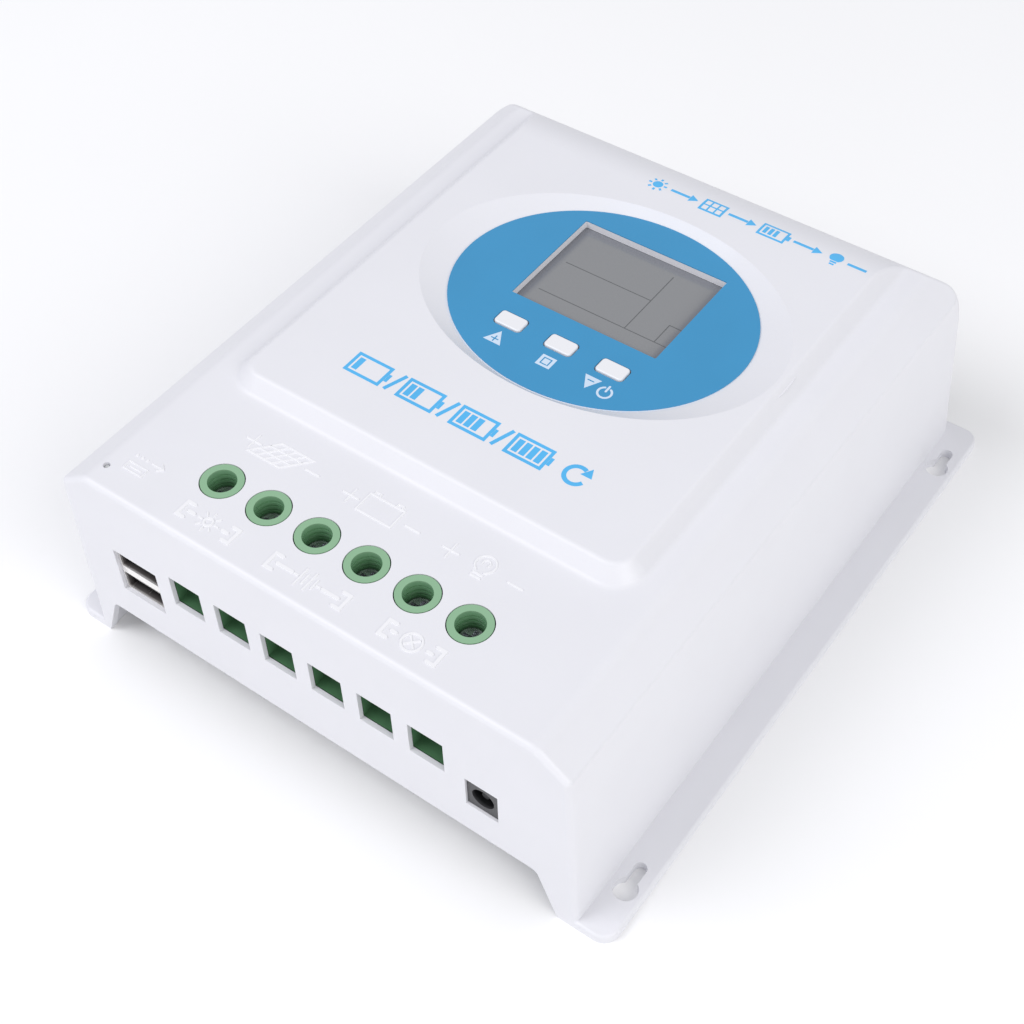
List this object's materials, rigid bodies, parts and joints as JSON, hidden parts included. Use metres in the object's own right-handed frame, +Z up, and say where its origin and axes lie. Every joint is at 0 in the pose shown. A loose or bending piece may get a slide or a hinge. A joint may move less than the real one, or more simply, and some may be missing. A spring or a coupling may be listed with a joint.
{
  "type": "solar charge controller",
  "caption": "Wall-mounted solar charge controller: moulded cover on a finned heat sink, screw terminals, USB and barrel sockets, oval display with keys.",
  "frame": {"origin": "centre of the base, on the surface that the mounting flanges rest on", "axes": "+Z up out of the wall or bench; -Y is the front with the wire entries; +X to the right seen from the front"},
  "size_m": [0.177, 0.201, 0.0728],
  "materials": {
    "cover": "fine-grained, off-white",
    "film": "satin printed film, blue",
    "glass": "clear over a grey liquid crystal layer",
    "light_guide": "milky grey",
    "frame_plastic": "smooth, pale",
    "circuit_board": "green solder resist",
    "key": "smooth, warm white",
    "switch": "black",
    "plunger": "smooth, dark brown",
    "terminal": "smooth, light green",
    "plated_steel": "bright zinc plate",
    "steel": "plain steel",
    "contact": "tinned brass",
    "brass": "turned brass",
    "shell": "nickel-plated sheet",
    "tongue": "white",
    "jack": "dark grey",
    "lamp": "clear tinted resin",
    "light_pipe": "clear rod",
    "aluminium": "extruded, as cut",
    "black_resin": "moulded black resin",
    "pad": "soft grey insulating pad",
    "capacitor": "dark sleeve",
    "coil": "enamelled copper",
    "fuse": "translucent amber",
    "shunt": "bare alloy strip",
    "socket": "ivory",
    "ribbon": "grey vinyl"
  },
  "bodies": {
    "case": {"cover": "cover", "heat_sink": "aluminium", "base_screws": "plated_steel", "display_film": "film", "display_glass": "glass", "display_light_guide": "light_guide", "display_frame": "frame_plastic", "display_board": "circuit_board", "display_screws": "plated_steel", "key_switches": "switch", "usb_shell": "shell", "usb_tongues": "tongue", "usb_contacts": "contact", "jack_body": "jack", "jack_pin": "plated_steel", "status_led": "lamp", "light_pipe": "light_pipe", "main_board": "circuit_board", "board_standoffs": "brass", "board_screws": "plated_steel", "power_transistors": "black_resin", "thermal_pad": "pad", "clamp_bar": "steel", "clamp_screws": "plated_steel", "capacitors": "capacitor", "inductor": "coil", "blade_fuses": "fuse", "current_shunts": "shunt", "control_chips": "black_resin", "ribbon_sockets": "socket", "display_ribbon": "ribbon", "terminal_contacts": "contact", "terminal_housing_1": "terminal", "terminal_housing_2": "terminal", "terminal_housing_3": "terminal", "terminal_housing_4": "terminal", "terminal_housing_5": "terminal", "terminal_housing_6": "terminal"},
    "up_key": {"key_up": "key", "key_plunger_up": "plunger"},
    "menu_key": {"key_menu": "key", "key_plunger_menu": "plunger"},
    "down_key": {"key_down": "key", "key_plunger_down": "plunger"},
    "clamp_screw_1": {"terminal_screw_1": "plated_steel"},
    "clamp_cage_1": {"terminal_cage_1": "plated_steel"},
    "clamp_screw_2": {"terminal_screw_2": "plated_steel"},
    "clamp_cage_2": {"terminal_cage_2": "plated_steel"},
    "clamp_screw_3": {"terminal_screw_3": "plated_steel"},
    "clamp_cage_3": {"terminal_cage_3": "plated_steel"},
    "clamp_screw_4": {"terminal_screw_4": "plated_steel"},
    "clamp_cage_4": {"terminal_cage_4": "plated_steel"},
    "clamp_screw_5": {"terminal_screw_5": "plated_steel"},
    "clamp_cage_5": {"terminal_cage_5": "plated_steel"},
    "clamp_screw_6": {"terminal_screw_6": "plated_steel"},
    "clamp_cage_6": {"terminal_cage_6": "plated_steel"}
  },
  "joints": [
    {"name": "up_key_press", "type": "slide", "parent": "case", "child": "up_key", "axis": [0, 0, -1], "range_m": [0, 0.0004], "stiffness_N_per_m": 3000},
    {"name": "menu_key_press", "type": "slide", "parent": "case", "child": "menu_key", "axis": [0, 0, -1], "range_m": [0, 0.0004], "stiffness_N_per_m": 3000},
    {"name": "down_key_press", "type": "slide", "parent": "case", "child": "down_key", "axis": [0, 0, -1], "range_m": [0, 0.0004], "stiffness_N_per_m": 3000},
    {"name": "screw_1_turn", "type": "hinge", "parent": "case", "child": "clamp_screw_1", "pos_m": [-0.03836, -0.0815, 0.062], "axis": [0, 0, -1], "range_deg": [0, 4050]},
    {"name": "cage_1_rise", "type": "slide", "parent": "case", "child": "clamp_cage_1", "axis": [0, 0, 1], "range_m": [0, 0.009]},
    {"name": "screw_2_turn", "type": "hinge", "parent": "case", "child": "clamp_screw_2", "pos_m": [-0.02336, -0.0815, 0.062], "axis": [0, 0, -1], "range_deg": [0, 4050]},
    {"name": "cage_2_rise", "type": "slide", "parent": "case", "child": "clamp_cage_2", "axis": [0, 0, 1], "range_m": [0, 0.009]},
    {"name": "screw_3_turn", "type": "hinge", "parent": "case", "child": "clamp_screw_3", "pos_m": [-0.00836, -0.0815, 0.062], "axis": [0, 0, -1], "range_deg": [0, 4050]},
    {"name": "cage_3_rise", "type": "slide", "parent": "case", "child": "clamp_cage_3", "axis": [0, 0, 1], "range_m": [0, 0.009]},
    {"name": "screw_4_turn", "type": "hinge", "parent": "case", "child": "clamp_screw_4", "pos_m": [0.00664, -0.0815, 0.062], "axis": [0, 0, -1], "range_deg": [0, 4050]},
    {"name": "cage_4_rise", "type": "slide", "parent": "case", "child": "clamp_cage_4", "axis": [0, 0, 1], "range_m": [0, 0.009]},
    {"name": "screw_5_turn", "type": "hinge", "parent": "case", "child": "clamp_screw_5", "pos_m": [0.02164, -0.0815, 0.062], "axis": [0, 0, -1], "range_deg": [0, 4050]},
    {"name": "cage_5_rise", "type": "slide", "parent": "case", "child": "clamp_cage_5", "axis": [0, 0, 1], "range_m": [0, 0.009]},
    {"name": "screw_6_turn", "type": "hinge", "parent": "case", "child": "clamp_screw_6", "pos_m": [0.03664, -0.0815, 0.062], "axis": [0, 0, -1], "range_deg": [0, 4050]},
    {"name": "cage_6_rise", "type": "slide", "parent": "case", "child": "clamp_cage_6", "axis": [0, 0, 1], "range_m": [0, 0.009]}
  ],
  "couplings": [
    {"joint": "screw_1_turn", "follows": "cage_1_rise", "rad_per_m": 7853.9},
    {"joint": "screw_2_turn", "follows": "cage_2_rise", "rad_per_m": 7853.9},
    {"joint": "screw_3_turn", "follows": "cage_3_rise", "rad_per_m": 7853.9},
    {"joint": "screw_4_turn", "follows": "cage_4_rise", "rad_per_m": 7853.9},
    {"joint": "screw_5_turn", "follows": "cage_5_rise", "rad_per_m": 7853.9},
    {"joint": "screw_6_turn", "follows": "cage_6_rise", "rad_per_m": 7853.9}
  ]
}
